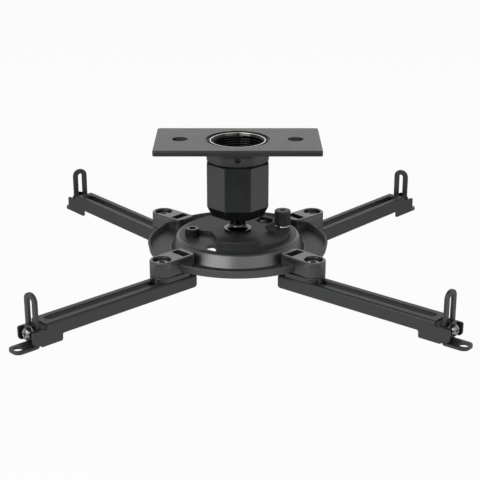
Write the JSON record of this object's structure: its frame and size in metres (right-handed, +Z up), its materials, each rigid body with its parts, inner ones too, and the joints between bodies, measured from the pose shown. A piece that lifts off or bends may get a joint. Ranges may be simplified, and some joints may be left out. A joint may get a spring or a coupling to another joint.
{
  "type": "projector ceiling mount",
  "caption": "Projector ceiling mount: flat plate, pipe-threaded tube, ball joint in an octagonal locking sleeve, round hub and slotted arms ending in L-brackets.",
  "frame": {"origin": "centre of the ceiling plate's top face, on the axis of the tube and ball joint", "axes": "+Z up into the ceiling, +X along the plate's long side, -Y towards the front of the mount"},
  "size_m": [0.3672, 0.3731, 0.1266],
  "materials": {
    "powder_coat": "satin black powder coat",
    "cast_coat": "satin black coat on a casting",
    "plated_black": "glossy black plating",
    "black_zinc": "black zinc",
    "bright_zinc": "bright plating",
    "seat_plastic": "plain moulded"
  },
  "bodies": {
    "ceiling_mount": {"ceiling_plate": "powder_coat", "set_screw": "black_zinc", "threaded_tube": "powder_coat"},
    "locking_sleeve": {"locking_sleeve": "cast_coat"},
    "ball_swivel": {"ball_seat": "seat_plastic"},
    "ball_tilt": {"friction_liner": "seat_plastic"},
    "spider": {"ball_stud": "plated_black", "stud_screw": "black_zinc", "base_plate": "powder_coat", "locating_bolt": "black_zinc", "knob_ring": "bright_zinc", "hub": "cast_coat"},
    "thumb_screw": {"thumb_screw": "powder_coat"},
    "pivot_front_left": {"clamp_pad_front_left": "powder_coat", "pivot_screw_front_left": "black_zinc", "slide_nut_front_left": "black_zinc"},
    "arm_front_left": {"arm_front_left": "powder_coat", "clamp_screw_front_left": "bright_zinc", "clamp_washer_front_left": "black_zinc", "clamp_nut_front_left": "bright_zinc"},
    "bracket_front_left": {"bracket_front_left": "powder_coat"},
    "pivot_front_right": {"clamp_pad_front_right": "powder_coat", "pivot_screw_front_right": "black_zinc", "slide_nut_front_right": "black_zinc"},
    "arm_front_right": {"arm_front_right": "powder_coat", "clamp_screw_front_right": "bright_zinc", "clamp_washer_front_right": "black_zinc", "clamp_nut_front_right": "bright_zinc"},
    "bracket_front_right": {"bracket_front_right": "powder_coat"},
    "pivot_back_left": {"clamp_pad_back_left": "powder_coat", "pivot_screw_back_left": "black_zinc", "slide_nut_back_left": "black_zinc"},
    "arm_back_left": {"arm_back_left": "powder_coat", "clamp_screw_back_left": "bright_zinc", "clamp_washer_back_left": "black_zinc", "clamp_nut_back_left": "bright_zinc"},
    "bracket_back_left": {"bracket_back_left": "powder_coat"},
    "pivot_back_right": {"clamp_pad_back_right": "powder_coat", "pivot_screw_back_right": "black_zinc", "slide_nut_back_right": "black_zinc"},
    "arm_back_right": {"arm_back_right": "powder_coat", "clamp_screw_back_right": "bright_zinc", "clamp_washer_back_right": "black_zinc", "clamp_nut_back_right": "bright_zinc"},
    "bracket_back_right": {"bracket_back_right": "powder_coat"}
  },
  "joints": [
    {"name": "sleeve_turn", "type": "hinge", "parent": "ceiling_mount", "child": "locking_sleeve", "pos_m": [0, 0, -0.05302], "axis": [0, 0, 1], "range_deg": [-180, 0]},
    {"name": "ball_swivel", "type": "hinge", "parent": "ceiling_mount", "child": "ball_swivel", "pos_m": [0, 0, -0.05302], "axis": [0, 0, 1], "continuous": true},
    {"name": "ball_tilt", "type": "hinge", "parent": "ball_swivel", "child": "ball_tilt", "pos_m": [0, 0, -0.05302], "axis": [1, 0, 0], "range_deg": [-15, 15]},
    {"name": "ball_roll", "type": "hinge", "parent": "ball_tilt", "child": "spider", "pos_m": [0, 0, -0.05302], "axis": [0, 1, 0], "range_deg": [-15, 15]},
    {"name": "thumb_screw_turn", "type": "hinge", "parent": "spider", "child": "thumb_screw", "pos_m": [0.04051, 0.00802, -0.08402], "axis": [0, 0, 1], "continuous": true},
    {"name": "arm_pivot_front_left", "type": "hinge", "parent": "spider", "child": "pivot_front_left", "pos_m": [-0.06466, -0.06488, -0.10662], "axis": [0, 0, 1], "range_deg": [-35, 35]},
    {"name": "arm_slide_front_left", "type": "slide", "parent": "pivot_front_left", "child": "arm_front_left", "axis": [-0.723, -0.6909, 0], "range_m": [-0.04, 0.017]},
    {"name": "bracket_height_front_left", "type": "slide", "parent": "arm_front_left", "child": "bracket_front_left", "axis": [0, 0, 1], "range_m": [-0.0258, 0.0015]},
    {"name": "arm_pivot_front_right", "type": "hinge", "parent": "spider", "child": "pivot_front_right", "pos_m": [0.06466, -0.06488, -0.10662], "axis": [0, 0, 1], "range_deg": [-35, 35]},
    {"name": "arm_slide_front_right", "type": "slide", "parent": "pivot_front_right", "child": "arm_front_right", "axis": [0.7683, -0.6401, 0], "range_m": [-0.04, 0.017]},
    {"name": "bracket_height_front_right", "type": "slide", "parent": "arm_front_right", "child": "bracket_front_right", "axis": [0, 0, 1], "range_m": [-0.0258, 0.0015]},
    {"name": "arm_pivot_back_left", "type": "hinge", "parent": "spider", "child": "pivot_back_left", "pos_m": [-0.07048, 0.06459, -0.10662], "axis": [0, 0, 1], "range_deg": [-35, 35]},
    {"name": "arm_slide_back_left", "type": "slide", "parent": "pivot_back_left", "child": "arm_back_left", "axis": [-0.632, 0.7749, 0], "range_m": [-0.054, 0.003]},
    {"name": "bracket_height_back_left", "type": "slide", "parent": "arm_back_left", "child": "bracket_back_left", "axis": [0, 0, 1], "range_m": [-0.0258, 0.0015]},
    {"name": "arm_pivot_back_right", "type": "hinge", "parent": "spider", "child": "pivot_back_right", "pos_m": [0.07048, 0.06459, -0.10662], "axis": [0, 0, 1], "range_deg": [-35, 35]},
    {"name": "arm_slide_back_right", "type": "slide", "parent": "pivot_back_right", "child": "arm_back_right", "axis": [0.6626, 0.749, 0], "range_m": [-0.054, 0.003]},
    {"name": "bracket_height_back_right", "type": "slide", "parent": "arm_back_right", "child": "bracket_back_right", "axis": [0, 0, 1], "range_m": [-0.0258, 0.0015]}
  ]
}
